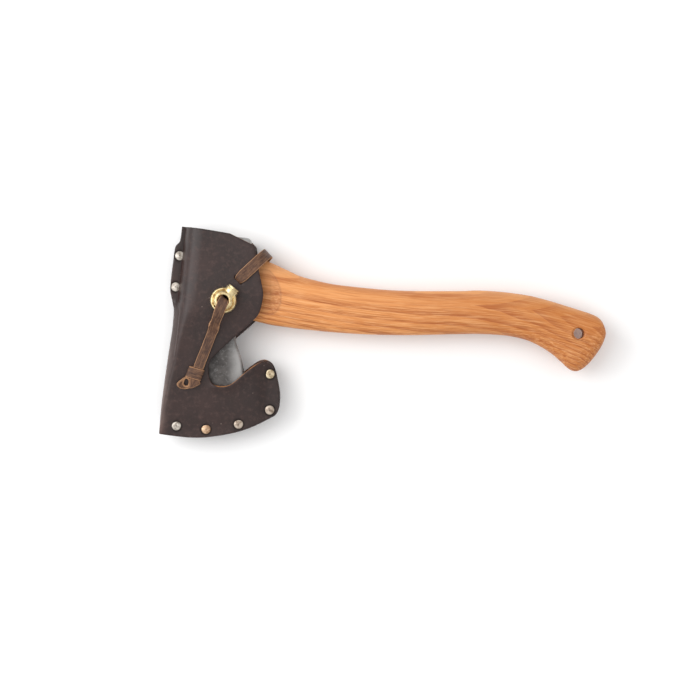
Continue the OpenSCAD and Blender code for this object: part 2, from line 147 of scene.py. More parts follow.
class Shade:
    """A material and short calls that add nodes to it."""

    def __init__(self, name):
        self.mat = bpy.data.materials.new(name)
        self.mat.use_nodes = True
        self.tree = self.mat.node_tree
        self.bsdf = self.tree.nodes["Principled BSDF"]
        self.place = self.add("TexCoord").outputs["Object"]

    def add(self, kind, inputs=None, **props):
        node = self.tree.nodes.new("ShaderNode" + kind)
        for key, value in props.items():
            setattr(node, key, value)
        for key, value in (inputs or {}).items():
            self.put(node.inputs[key], value)
        return node

    def put(self, socket, value):
        if isinstance(value, bpy.types.NodeSocket):
            self.tree.links.new(value, socket)
        elif isinstance(value, tuple) and len(value) == 3 and socket.type == "RGBA":
            socket.default_value = (*value, 1)
        else:
            socket.default_value = value

    def math(self, kind, a, b=0.0, clamp=False):
        return self.add("Math", {0: a, 1: b}, operation=kind, use_clamp=clamp).outputs[0]

    def plus(self, a, b, clamp=False):
        return self.math("ADD", a, b, clamp)

    def minus(self, a, b):
        return self.math("SUBTRACT", a, b)

    def times(self, a, b):
        return self.math("MULTIPLY", a, b)

    def noise(self, scale, detail=4, rough=0.5, stretch=(1, 1, 1), place=None, twist=0.0):
        at = self.add("Mapping", {"Vector": place or self.place, "Scale": stretch})
        return self.add("TexNoise", {"Vector": at.outputs[0], "Scale": scale, "Detail": detail,
                                     "Roughness": rough, "Distortion": twist}).outputs["Fac"]

    def cells(self, scale, feature="F1"):
        node = self.add("TexVoronoi", {"Vector": self.place, "Scale": scale}, feature=feature)
        return node.outputs["Distance"]

    def span(self, value, low, high, to_low=0.0, to_high=1.0):
        """The value eased from one range to another, and held past its ends."""
        return self.add("MapRange", {"Value": value, "From Min": low, "From Max": high,
                                     "To Min": to_low, "To Max": to_high},
                        interpolation_type="SMOOTHSTEP").outputs[0]

    def curve(self, value, points):
        """A smooth curve through (input, output) pairs, level past its ends."""
        xs, ys = zip(*points)
        low, high = min(ys), max(ys)
        share = self.add("MapRange", {"Value": value, "From Min": xs[0], "From Max": xs[-1]}).outputs[0]
        node = self.add("FloatCurve", {"Value": share})
        marks = node.mapping.curves[0].points
        while len(marks) < len(points):
            marks.new(0.5, 0.5)
        for mark, (x, y) in zip(marks, points):
            mark.location = ((x - xs[0]) / (xs[-1] - xs[0]), (y - low) / (high - low))
        node.mapping.update()
        return self.add("MapRange", {"Value": node.outputs[0], "To Min": low, "To Max": high}).outputs[0]

    def mix(self, share, a, b):
        """Colour a, with that share of colour b over it."""
        node = self.add("Mix", data_type="RGBA")
        self.put(node.inputs[0], share)
        self.put(node.inputs[6], a)
        self.put(node.inputs[7], b)
        return node.outputs[2]

    def paint(self, colour, *layers):
        """The colour with layers over it, each a share and a colour."""
        for share, over in layers:
            colour = self.mix(share, colour, over)
        return colour

    def attribute(self, name, output="Fac"):
        return self.add("Attribute", attribute_name=name).outputs[output]

    def bump(self, height, distance, strength):
        return self.add("Bump", {"Height": height, "Distance": distance, "Strength": strength}).outputs[0]

    def finish(self, **sockets):
        for key, value in sockets.items():
            self.put(self.bsdf.inputs[key.replace("_", " ")], value)
        return self.mat


def rgb(r, g, b):
    """An sRGB colour of 0 to 255 as linear values."""
    def one(c):
        c /= 255
        return c / 12.92 if c <= 0.04045 else ((c + 0.055) / 1.055) ** 2.4
    return (one(r), one(g), one(b))


# (x, value) pairs along the handle, in metres: the middle line of the grain's arches, and the
# distance from the pith there, which sets where an arch ends.
PITH_LINE = [(-0.150, 0.0530), (-0.110, 0.0460), (-0.074, 0.0395), (-0.023, 0.0315), (0.027, 0.0268),
             (0.0745, 0.0247), (0.1317, 0.0205), (0.161, 0.0145), (0.185, 0.0075), (0.210, -0.001)]
PITH_DISTANCE = [(-0.150, 0.0428), (-0.023, 0.0427), (0.027, 0.0426), (0.0745, 0.0422), (0.1317, 0.0392),
                 (0.161, 0.0361), (0.185, 0.0335), (0.210, 0.0315)]
RING_GAP = 0.00305
RING_SHIFT = 13.84
NEAR_FACE = 0.0342


def wood_material():
    """Flat-sawn hickory: its rings lie lengthwise on the left and in the lower half, and open
    into pointed arches towards the hooked end."""
    s = Shade("hickory")
    x, y, z = s.add("SeparateXYZ", {"Vector": s.place}).outputs
    sway = s.minus(s.noise(20, 3, 0.55, (0.45, 1, 1)), 0.5)
    side = s.minus(y, s.curve(x, PITH_LINE))
    bent = s.plus(side, s.times(sway, 0.003))
    above = s.math("MAXIMUM", bent, 0.0)
    below = s.math("MAXIMUM", s.times(bent, -1.0), 0.0)
    far = s.plus(s.times(s.minus(z, NEAR_FACE), 0.2), s.curve(x, PITH_DISTANCE))
    far = s.plus(far, s.times(above, 0.36))
    far = s.plus(far, s.times(below, s.plus(0.13, s.times(below, 9.0))))
    lie = s.add("CombineXYZ", {"X": x, "Y": side, "Z": z}).outputs[0]
    far = s.plus(far, s.times(s.noise(260, 2, 0.5, (0.08, 1, 1), lie), 0.0006))
    turns = s.minus(s.math("DIVIDE", far, RING_GAP), RING_SHIFT)
    ring = s.math("FRACT", turns)
    late = s.times(s.span(ring, 0.30, 0.97), s.span(ring, 0.985, 1.0, 1, 0))
    late = s.times(late, s.span(s.noise(30, 3, 0.6, (0.25, 1, 1), lie), 0.30, 0.58, 0.45, 1))
    hair = s.span(s.math("FRACT", s.times(turns, 3.7)), 0.5, 1.0)
    hair = s.times(hair, s.span(s.noise(70, 2, 0.5, (0.25, 1, 1), lie), 0.45, 0.62))
    fibre = s.noise(800, 4, 0.7, (0.035, 1, 1), lie)
    dash = s.noise(1250, 2, 0.55, (0.035, 1, 1), lie)
    lower = s.span(side, 0.004, -0.014, 0.35, 1.0)
    pore = s.times(s.span(dash, 0.545, 0.61), s.times(lower, s.span(ring, 0.1, 0.6, 0.45, 1.0)))
    pale = s.times(s.span(dash, 0.46, 0.37), lower)
    broad = s.noise(18, 3, 0.55, (0.25, 1, 1), lie)
    colour = s.paint(
        s.mix(s.span(broad, 0.3, 0.7), rgb(214, 139, 78), rgb(229, 157, 97)),
        (s.span(x, -0.07, 0.15, 0.0, 0.9), rgb(189, 114, 54)),
        (s.times(late, 0.85), rgb(166, 88, 38)),
        (s.times(hair, 0.40), rgb(172, 98, 48)),
        (s.span(fibre, 0.40, 0.72, 0, 0.30), rgb(243, 186, 128)),
        (s.times(pale, 0.26), rgb(250, 200, 146)),
        (s.times(pore, 0.46), rgb(150, 80, 36)),
        # Painted highlight: the handle's upper part is paler, as if lit from above.
        (s.span(side, 0.004, 0.013, 0, 0.30), rgb(247, 190, 136)),
        (s.attribute("shade"), rgb(108, 56, 26)))
    height = s.minus(s.times(fibre, 0.5), s.plus(pore, s.times(late, 0.2)))
    rough = s.plus(0.42, s.times(s.noise(60, 4, 0.6, (0.2, 1, 1), lie), 0.16))
    return s.finish(Base_Color=colour, Roughness=rough, Normal=s.bump(height, 0.00014, 0.6),
                    Specular_IOR_Level=0.30)


def leather_material(name, dark, mid, light, cut, rough, coat, flow=False):
    """Thick leather: pores and creases over a mottled colour, with a raw cut edge. The meshes say where
    shade is painted round the rivets and in a crease, where a reflection is painted on the fold, and where it
    is cut, and flow gives it streaks along the strip."""
    s = Shade(name)
    big = s.noise(28, 5, 0.6)
    fine = s.noise(260, 5, 0.65)
    colour = s.mix(s.span(big, 0.32, 0.68), dark, mid)
    colour = s.mix(s.times(s.span(fine, 0.45, 0.8), 0.45), colour, light)
    crease = s.span(s.cells(620, "DISTANCE_TO_EDGE"), 0.0, 0.09)
    height = s.plus(s.times(s.cells(1500), 0.3), s.times(crease, 0.10))
    height = s.plus(height, s.times(fine, 0.9))
    if flow:
        streak = s.noise(900, 4, 0.7, (0.12, 1, 1), s.attribute("flow", "Vector"))
        colour = s.paint(colour, (s.span(streak, 0.42, 0.72, 0, 0.55), light),
                         (s.span(streak, 0.5, 0.2, 0, 0.5), dark))
        height = s.plus(height, s.times(streak, 1.6))
    scuff = s.span(s.noise(95, 6, 0.7, (1, 0.35, 1), twist=0.4), 0.62, 0.74, 0, 0.2)
    fleck = s.times(s.span(s.cells(150), 0.10, 0.05), s.span(s.noise(60, 2), 0.56, 0.64))
    # Painted shade from the mesh: dark rings round the rivet heads and a dark line in the crease at the
    # flange's foot, where the leather is also made rougher.
    painted_shade = s.attribute("painted_shade")
    rim = s.attribute("rim")
    colour = s.paint(
        colour,
        (scuff, light),
        (s.times(fleck, 0.5), rgb(150, 132, 122)),
        (s.times(painted_shade, 0.85), (0.010, 0.007, 0.006)),
        (s.span(rim, 0.25, 0.95), s.mix(s.span(fine, 0.3, 0.75), cut, light)),
        # Painted reflection: a paler layer over the fold's lower part.
        (s.attribute("wear_and_sheen"), s.mix(s.span(big, 0.3, 0.7), light, rgb(132, 112, 104))))
    gloss = s.plus(s.plus(rough, s.times(s.minus(fine, 0.5), 0.30)), s.times(rim, 0.2))
    gloss = s.plus(gloss, s.times(painted_shade, 0.7), clamp=True)
    return s.finish(Base_Color=colour, Roughness=gloss, Normal=s.bump(height, 0.00022, 0.55),
                    Specular_IOR_Level=0.40, Coat_Weight=coat, Coat_Roughness=0.42)


def steel_material():
    """Dark forge scale, rubbed bright at the poll, with a painted reflection that pales the head towards the
    handle's side, and ground at the edge.
    """
    s = Shade("forged_steel")
    x, y, _ = s.add("SeparateXYZ", {"Vector": s.place}).outputs
    scale = s.noise(60, 5, 0.6)
    fine = s.noise(380, 4, 0.65)
    # Painted reflection along x: the head pales from its front towards the handle's side; along y the poll is
    # rubbed bright.
    wear_and_sheen = s.times(s.span(x, -0.145, -0.130), s.span(scale, 0.2, 0.5, 0.5, 1))
    wear_and_sheen = s.math("MAXIMUM", wear_and_sheen, s.span(y, 0.078, 0.083))
    ground = s.attribute("ground")
    brush = s.noise(900, 3, 0.6, (1, 0.03, 1))
    colour = s.paint(
        s.mix(s.span(scale, 0.35, 0.68), rgb(66, 63, 62), rgb(100, 96, 94)),
        (s.times(wear_and_sheen, 0.75), rgb(186, 184, 182)),
        (s.span(fine, 0.5, 0.78, 0, 0.4), rgb(170, 168, 166)),
        (s.span(s.noise(38, 5, 0.7), 0.6, 0.74, 0, 0.35), rgb(52, 49, 48)),
        (ground, s.mix(brush, rgb(186, 186, 187), rgb(224, 225, 226))))
    rough = s.minus(s.plus(0.38, s.times(fine, 0.25)), s.times(ground, 0.24))
    pits = s.times(s.plus(scale, s.times(s.cells(330), 0.25)), s.minus(1.0, ground))
    pits = s.plus(pits, s.times(brush, 0.04))
    return s.finish(Base_Color=colour, Roughness=rough, Metallic=0.85, Normal=s.bump(pits, 0.0004, 0.5))


def metal_material(name, colour, wear_and_sheen, rough):
    """Turned or pressed metal: fine scratches and duller patches."""
    s = Shade(name)
    patch = s.noise(260, 5, 0.65)
    scratch = s.noise(1400, 4, 0.7, (1, 0.15, 1))
    tone = s.mix(s.span(patch, 0.42, 0.66), colour, wear_and_sheen)
    tone = s.mix(s.attribute("shade"), tone, (0.03, 0.022, 0.018))
    shine = s.plus(s.plus(rough, s.times(s.span(patch, 0.35, 0.75), 0.16)), s.times(scratch, 0.08))
    relief = s.plus(patch, s.times(scratch, 0.4))
    return s.finish(Base_Color=tone, Roughness=shine, Metallic=1.0, Normal=s.bump(relief, 0.00006, 0.5))


def endgrain_material():
    """Plain end grain with open pores."""
    s = Shade("wedge_wood")
    lines = s.noise(600, 4, 0.6, (1, 0.08, 1))
    pores = s.span(s.cells(1500), 0.25, 0.1)
    colour = s.mix(s.span(lines, 0.35, 0.7), rgb(150, 98, 54), rgb(204, 150, 96))
    colour = s.mix(s.times(pores, 0.5), colour, rgb(92, 54, 28))
    return s.finish(Base_Color=colour, Roughness=0.62, Normal=s.bump(lines, 0.0002, 0.5))


MATERIALS = {
    "hickory": wood_material(),
    "forged_steel": steel_material(),
    "wedge_wood": endgrain_material(),
    "sheath_leather": leather_material("sheath_leather", rgb(34, 18, 15), rgb(49, 29, 25),
                                       rgb(88, 64, 58), rgb(172, 116, 70), 0.44, 0.10),
    "thong_leather": leather_material("thong_leather", rgb(58, 35, 24), rgb(86, 57, 41),
                                      rgb(140, 102, 74), rgb(178, 134, 98), 0.6, 0.0, True),
}
METALS = {
    "wedge_steel": ((150, 151, 154), (92, 88, 86), 0.3),
    "lock_brass": ((226, 207, 160), (176, 146, 98), 0.25),
    "button_brass": ((226, 208, 164), (174, 144, 100), 0.27),
    "spring_steel": ((196, 197, 200), (150, 150, 152), 0.25),
    "burr_copper": ((206, 150, 118), (150, 96, 72), 0.34),
    "rivet_nickel": ((200, 192, 182), (124, 115, 106), 0.40),
    "rivet_copper": ((208, 178, 148), (146, 112, 86), 0.38),
    "rivet_straw": ((212, 196, 166), (146, 126, 98), 0.38),
    "rivet_rose": ((192, 178, 164), (132, 116, 102), 0.38),
}
for name, (colour, wear_and_sheen, rough) in METALS.items():
    MATERIALS[name] = metal_material(name, rgb(*colour), rgb(*wear_and_sheen), rough)

# ---- Mesh building ------------------------------------------------------------------


def make(name, verts, faces, material, attributes=None, sharp=None):
    """A smooth object from metres, with optional values for its points."""
    mesh = bpy.data.meshes.new(name)
    mesh.from_pydata([tuple(map(float, v)) for v in verts], [], [tuple(map(int, f)) for f in faces])
    for key, values in (attributes or {}).items():
        values = np.asarray(values, np.float32)
        kind = ("FLOAT_VECTOR", "vector") if values.ndim == 2 else ("FLOAT", "value")
        mesh.attributes.new(key, kind[0], "POINT").data.foreach_set(kind[1], values.ravel())
    work = bmesh.new()
    work.from_mesh(mesh)
    bmesh.ops.recalc_face_normals(work, faces=work.faces)
    work.to_mesh(mesh)
    work.free()
    mesh.shade_smooth()
    if sharp:
        mesh.set_sharp_from_angle(angle=math.radians(sharp))
    mesh.materials.append(MATERIALS[material])
    obj = bpy.data.objects.new(name, mesh)
    bpy.context.scene.collection.objects.link(obj)
    return obj


def around(count, offset=0.0):
    """Cosine and sine at even steps round a circle."""
    angles = [2 * math.pi * (k + offset) / count for k in range(count)]
    return [(math.cos(a), math.sin(a)) for a in angles]


def loft(count, sides, closed=False, caps=True):
    """Faces between rings of equally many points, numbered ring after ring."""
    faces = []
    for i in range(count if closed else count - 1):
        j = (i + 1) % count
        for k in range(sides):
            n = (k + 1) % sides
            faces.append((i * sides + k, i * sides + n, j * sides + n, j * sides + k))
    if caps and not closed:
        faces.append(tuple(range(sides)))
        faces.append(tuple((count - 1) * sides + k for k in range(sides)))
    return faces


def lathe(name, profile, sides, material, put, sharp=38, shade=None):
    """A turned piece from (radius, height) points; put turns its points to metres.
    shade gives how dark it is at each of those points."""
    rings = [(r * c, r * s, z) for r, z in profile for c, s in around(sides)]
    marks = {} if shade is None else {"shade": np.repeat(shade, sides)}
    return make(name, put(np.array(rings)), loft(len(profile), sides), material, marks, sharp)


def cut(obj, tools, kind="DIFFERENCE", sharp=38):
    """Booleans obj with helper objects and removes them."""
    for tool in tools:
        mod = obj.modifiers.new("cut", "BOOLEAN")
        mod.operation, mod.solver, mod.object = kind, "EXACT", tool
        bpy.context.view_layer.update()
        mesh = bpy.data.meshes.new_from_object(obj.evaluated_get(bpy.context.evaluated_depsgraph_get()))
        obj.modifiers.clear()
        obj.data = mesh
        bpy.data.objects.remove(tool)
    obj.data.shade_smooth()
    obj.data.set_sharp_from_angle(angle=math.radians(sharp))
    return obj


def ribbon(name, path, sides, left, right, thick, material, closed=False, fray=0.0, seed=0, start=0.0):
    """A leather strip along path (head frame, mm), with its width along sides. left and right
    are its half widths, and fray is how far its edges wander, at each point of the path."""
    path, sides = np.asarray(path, float), np.asarray(sides, float)
    n = len(path)
    left, right, thick, fray = (np.broadcast_to(x, n) for x in (left, right, thick, fray))
    ahead = np.roll(path, -1, 0) - np.roll(path, 1, 0) if closed else np.gradient(path, axis=0)
    ahead /= np.linalg.norm(ahead, axis=1)[:, None]
    sides = sides - ahead * np.sum(sides * ahead, 1)[:, None]
    sides /= np.linalg.norm(sides, axis=1)[:, None]
    up = np.cross(ahead, sides)
    length = np.concatenate([[0], np.cumsum(np.linalg.norm(np.diff(path, axis=0), axis=1))])
    flat = [-0.93, -0.76, -0.4, 0.0, 0.4, 0.76, 0.93]
    edge = [(0.98, 0.72, 0.9), (1.0, 0.3, 1), (1.0, -0.3, 1), (0.98, -0.72, 0.9)]
    section = [(a, 1.0, 0.8 * (abs(a) > 0.9)) for a in flat] + edge
    section += [(a, -1.0, 0.8 * (abs(a) > 0.9)) for a in reversed(flat)]
    section += [(-a, b, e) for a, b, e in reversed(edge)]
    points, rim, flow = [], [], []
    for i in range(n):
        for a, b, edge in section:
            rag = 1 + fray[i] * noise.noise(Vector((length[i] * 0.8, 3.1 * (a > 0) + seed, b * 0.4)))
            across = a * (right[i] if a > 0 else left[i]) * rag
            points.append(path[i] + sides[i] * across + up[i] * b * thick[i] / 2)
            rim.append(edge)
            flow.append(((start + length[i]) * MM, across * MM, b * thick[i] / 2 * MM))
    return make(name, world(points), loft(n, len(section), closed), material,
                {"rim": rim, "flow": flow}, sharp=60)


def inside(points, loop):
    """Which 2-D points lie inside a closed loop."""
    x, y = points[:, 0], points[:, 1]
    hit = np.zeros(len(points), bool)
    for p, q in zip(loop, np.roll(loop, -1, axis=0)):
        if p[1] != q[1]:
            hit ^= ((p[1] > y) != (q[1] > y)) & (x < (q[0] - p[0]) * (y - p[1]) / (q[1] - p[1]) + p[0])
    return hit


def even(loop, gap):
    """A closed loop resampled to even steps, its sharp corners kept."""
    loop = np.asarray(loop, float)
    out = []
    for p, q in zip(loop, np.roll(loop, -1, axis=0)):
        count = max(1, round(np.linalg.norm(q - p) / gap))
        out += [p + (q - p) * k / count for k in range(count)]
    return np.array(out)


def inset(loop, by):
    """A counter-clockwise loop moved inwards."""
    before, after = np.roll(loop, 1, axis=0), np.roll(loop, -1, axis=0)
    a, b = loop - before, after - loop
    a /= np.linalg.norm(a, axis=1)[:, None]
    b /= np.linalg.norm(b, axis=1)[:, None]
    na, nb = np.column_stack([-a[:, 1], a[:, 0]]), np.column_stack([-b[:, 1], b[:, 0]])
    n = na + nb
    n /= np.maximum(np.sum(n * na, axis=1), 0.6)[:, None]
    return loop + n * by


# A cut edge is rounded over ROUND_OVER. Its rings have a share of the half thickness, how far in
# they lie and how raw they look.
ROUND_OVER = 0.55
RIM = [(0.78, 0.16, 0.45), (0.34, 0.0, 1.0), (-0.34, 0.0, 1.0), (-0.78, 0.16, 0.45)]


def hide_piece(outline, holes, shape, thick, points, extra=None, raw=None, margin=0.0):
    """Thick leather cut to a flat outline and bent by shape, which turns flat points to points
    and normals of the head's frame. points are the flat points inside it. extra gives more values
    for its points, raw how pale the cut edge is, and margin how far in the pale colour fades."""
    loops = [outline] + holes
    inner = [inset(loop, ROUND_OVER) for loop in loops]
    keep = inside(points, inset(outline, 1.1))
    for hole in holes:
        keep &= ~inside(points, inset(hole, 0.5))
    flat = np.vstack(inner + [points[keep]])
    edges, start = [], 0
    for loop in inner:
        edges += [(start + k, start + (k + 1) % len(loop)) for k in range(len(loop))]
        start += len(loop)
    found, _, tris, origin, _, _ = delaunay_2d_cdt([Vector(p) for p in flat], edges, [], 0, 1e-5)
    at = np.array([tuple(p) for p in found])
    tris = np.array([t for t in tris if len(t) == 3])
    middle = at[tris].mean(axis=1)
    good = inside(middle, inner[0])
    for loop in inner[1:]:
        good &= ~inside(middle, loop)
    tris = tris[good]
    where = {}
    for new, olds in enumerate(origin):
        for old in olds:
            where[old] = new
    surface, normal = shape(at)
    count = len(at)
    verts = [surface + normal * thick / 2, surface - normal * thick / 2]
    faces = [tuple(t) for t in tris] + [tuple(reversed(t + count)) for t in tris]
    rim = [np.zeros(count)] * 2
    if margin:
        cuts = np.vstack(loops)
        off = np.array([np.min(np.linalg.norm(cuts - q, axis=1)) for q in at])
        rim = [0.9 * np.clip(1.3 - off / margin, 0, 1)] * 2
    places = [at, at]
    total, start = 2 * count, 0
    for loop in loops:
        m = len(loop)
        ids = [[where[start + k] for k in range(m)]]
        for height, deep, edge in RIM:
            ring = inset(loop, deep)
            s, n = shape(ring)
            verts.append(s + n * thick / 2 * height)
            rim.append(np.full(m, edge) * (1 if raw is None else raw(ring)))
            places.append(ring)
            ids.append([total + k for k in range(m)])
            total += m
        ids.append([where[start + k] + count for k in range(m)])
        for upper, lower in zip(ids, ids[1:]):
            faces += [(upper[k], lower[k], lower[(k + 1) % m], upper[(k + 1) % m]) for k in range(m)]
        start += m
    places = np.vstack(places)
    verts = np.vstack(verts)
    values = {"rim": np.concatenate(rim)}
    for key, value in (extra or {}).items():
        values[key] = value(places, verts)
    return world(verts), faces, values


# ---- Thong tail, a flat cord ---------------------------------------------------------

route = spline(TAIL_ROUTE, 7)
tail_side = np.array([math.sin(TAIL_ANGLE), -math.cos(TAIL_ANGLE), 0.0])
along = np.linspace(0, len(TAIL_ROUTE) - 1, len(route))
half_width = np.interp(along, *zip((0, 4.9), (1.5, 4.85), (2.6, 4.5), (3.6, 4.3), (14, 4.7)))
upper = half_width + 0.9 * np.exp(-((along - 5.0) / 0.8) ** 2)
lower = half_width + 0.8 * np.exp(-((along - 6.1) / 0.7) ** 2)
tatters = 0.03 * step(along, 0, 2) + 0.24 * np.exp(-((along - 5.4) / 0.9) ** 2)
LOOP_RUN = 205.0  # so that the tail's streaks differ from the loop's
thong_tail = ribbon("thong_tail_strip", route, np.tile(tail_side, (len(route), 1)),
                    lower, upper, 2.2, "thong_leather", fray=tatters, seed=4, start=LOOP_RUN)
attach(thong_tail, "sheath")
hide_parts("thong_tail")

# ---- Thong knot and flared tip, on the tail ------------------------------------------

KNOT_LONG, KNOT_WIDE, KNOT_HIGH = 10.2, 14.6, 5.6
end = np.array(TAIL_ROUTE[-1])
ahead = np.array([math.cos(TAIL_ANGLE), math.sin(TAIL_ANGLE), 0.0])


def at_end(points):
    """x on along the thong, y to its left seen from above, z up, from the tail's end."""
    p = np.asarray(points, float)
    return end + p[:, :1] * ahead - p[:, 1:2] * tail_side + p[:, 2:3] * np.array([0, 0, 1.0])


wrap = []
for c, s in around(64):
    y = math.copysign(abs(c) ** 0.6, c) * (KNOT_WIDE / 2 - 0.9) - 1.2
    z = math.copysign(abs(s) ** 0.8, s) * (KNOT_HIGH / 2 - 0.9) - 0.5
    wrap.append((1.3 + KNOT_LONG / 2 - 0.10 * y + 0.25 * s, y, z))
knot = ribbon("thong_knot_band", at_end(wrap), [ahead] * len(wrap), KNOT_LONG / 2, KNOT_LONG / 2, 1.8,
              "thong_leather", closed=True, fray=0.03, seed=9)
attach(knot, "sheath")
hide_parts("thong_knot")

# The tip is a slit end with a flap pulled through it: a leaf with a hole, a flap over it and the
# strap itself, on through the knot.
LEAF = [(6, 3.4), (6, -4.6), (11.5, -7.8), (15.4, -10.2), (19.4, -12.5), (21.9, -12.9), (23.7, -11.4),
        (24.4, -8.4), (23.4, -4.6), (21.6, -1.6), (18.4, 0.6), (12, 2.6), (6, 3.4)]
LEAF_HOLE = [(20.8, -5.4), (19.2, -2.9), (14.4, -3.9), (13.2, -6.6), (14.8, -8.6), (19.4, -8.2), (20.8, -5.4)]
FLAP = [(6, 3.8), (6, -3.6), (13.2, -3.6), (17, -2.2), (20.9, -1.2), (20.2, 1.2), (17, 4.4),
        (14.2, 6.6), (12.6, 6.3), (10.4, 4.6), (6, 3.8)]
CORE = [(-0.4, 4.6), (-0.4, -4.6), (9, -4.6), (9, 4.6)]


def leaf_shape(flat):
    x, y = flat[:, 0], flat[:, 1]
    droop = -0.9 - 0.20 * np.maximum(x - 8, 0)
    curl = 0.035 * np.maximum(-y - 3, 0) ** 2 * step(x, 9, 15)
    return at_end(np.column_stack([x, y, droop + curl]))


def flap_shape(flat):
    x, y = flat[:, 0], flat[:, 1]
    droop = 0.9 - 0.17 * np.maximum(x - 9, 0)
    return at_end(np.column_stack([x, y, droop - 0.12 * np.maximum(y - 1, 0)]))


def core_shape(flat):
    return at_end(np.column_stack([flat, -0.02 * np.maximum(flat[:, 0], 0)]))


def with_normals(shape):
    """The same shape with its normals, from small steps across it."""
    def both(flat):
        d = 0.04
        n = np.cross(shape(flat + [d, 0]) - shape(flat - [d, 0]), shape(flat + [0, d]) - shape(flat - [0, d]))
        return shape(flat), n / np.linalg.norm(n, axis=1)[:, None]
    return both


def lattice(low, high, gap, row_gap=None):
    """Flat points in staggered rows."""
    rows = np.arange(low[1], high[1], row_gap or gap * 0.87)
    return np.array([(x + (i % 2) * gap / 2, y) for i, y in enumerate(rows)
                     for x in np.arange(low[0], high[0], gap)])


def flow_of(places, verts):
    """Along and across the strip, for the leather's streaks."""
    return np.column_stack([places * MM, np.zeros(len(places))])


def joined(parts):
    """Several hide pieces' points, faces and values as one mesh."""
    verts, faces, values, base = [], [], {}, 0
    for points, polygons, numbers in parts:
        verts.append(points)
        faces += [tuple(base + k for k in face) for face in polygons]
        for key, column in numbers.items():
            values.setdefault(key, []).append(column)
        base += len(points)
    return np.vstack(verts), faces, {key: np.concatenate(columns) for key, columns in values.items()}


tip_field = lattice((-10, -15), (26, 9), 0.9)
leaf_loop, hole_loop, flap_loop = (even(spline(p, 4)[:-1], 0.7) for p in (LEAF, LEAF_HOLE, FLAP))
tip_parts = [(leaf_loop, [hole_loop], leaf_shape, 1.9, 1.3), (flap_loop, [], flap_shape, 1.7, 0.9),
             (even(CORE, 0.9), [], core_shape, 2.1, 0.9)]
tip_verts, tip_faces, tip_values = joined([
    hide_piece(loop, cuts, with_normals(shape), thick, tip_field, {"flow": flow_of}, margin=margin)
    for loop, cuts, shape, thick, margin in tip_parts])
tip = make("thong_tip_leaf", tip_verts, tip_faces, "thong_leather", tip_values, sharp=70)
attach(tip, "sheath")
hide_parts("thong_tip")

# ---- Thong: anchored in the far panel, over the handle's back, into the lock ---------

reach = np.array([math.cos(STRAP), math.sin(STRAP), 0.0])
reach_side = np.array([-math.sin(STRAP), math.cos(STRAP), 0.0])
slit = np.array([*SLIT, 0.0])
# (reach, z) over the back of the handle: the far leg ends under the far panel, and the near one
# goes down through the slit.
near_leg = [(35.9, 0), (35.4, 8.0), (33.4, 14.4), (29.5, 18.9), (23.5, 20.9), (14, 21.15), (6, 21.2),
            (2.0, 20.9), (-0.3, 19.7), (-0.7, 17.7)]
loop_rz = [(-12.5, -15.4), (-6, -15.4), (-2.2, -15.7), (-0.3, -17.3)]
loop_rz += [(r, -z) for r, z in reversed(near_leg[1:-1])] + near_leg
points = [slit + reach * r + [0, 0, z] for r, z in loop_rz]
sides = [reach_side] * len(points)
tail_root, tail_next = np.array(TAIL_ROUTE[:2])
tail_start = (tail_next - tail_root) / np.linalg.norm(tail_next - tail_root)
riser = np.array([LOCK[0] + 1.6 * math.cos(BUTTON), LOCK[1] + 1.6 * math.sin(BUTTON), 0.0])
riser_side = np.array([-math.sin(BUTTON), math.cos(BUTTON), 0.0])
run = slit - riser
run_side = np.array([-run[1], run[0], 0]) / np.linalg.norm(run)
points += [slit - run * share + [0, 0, z] for share, z in ((0.10, 15.9), (0.25, 15.4), (0.6, 15.4))]
points += [riser + run * share + [0, 0, z] for share, z in ((0.09, 15.7), (0.01, 17.4))]
points += [riser + [0, 0, z] for z in (22, 28, 32.2)]
points += [riser + [-0.25, -0.9, 34.3], riser + [-0.7, -2.7, 35.25]]
points += [tail_root - tail_start * 0.8, tail_root + tail_start * 0.5]
sides += [run_side] * 4 + [riser_side] * 4 + [(riser_side + tail_side) / 2] + [tail_side] * 3
width = [5.1] * 3 + [5.3] * (len(loop_rz) - 7) + [5.3, 4.7, 3.6, 3.3]
width += [3.7] * 7 + [3.8, 4.3, 4.7, 4.88, 4.88]
fine_path = spline(points, 5)
fine_side = spline(sides, 5)
fine_width = np.interp(np.linspace(0, len(width) - 1, len(fine_path)), range(len(width)), width)
loop = ribbon("thong_loop_strip", fine_path, fine_side, fine_width, fine_width, 2.16, "thong_leather",
              fray=0.02, seed=2)
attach(loop, "sheath")
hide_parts("thong_loop")

# ---- Sheath leather ------------------------------------------------------------------

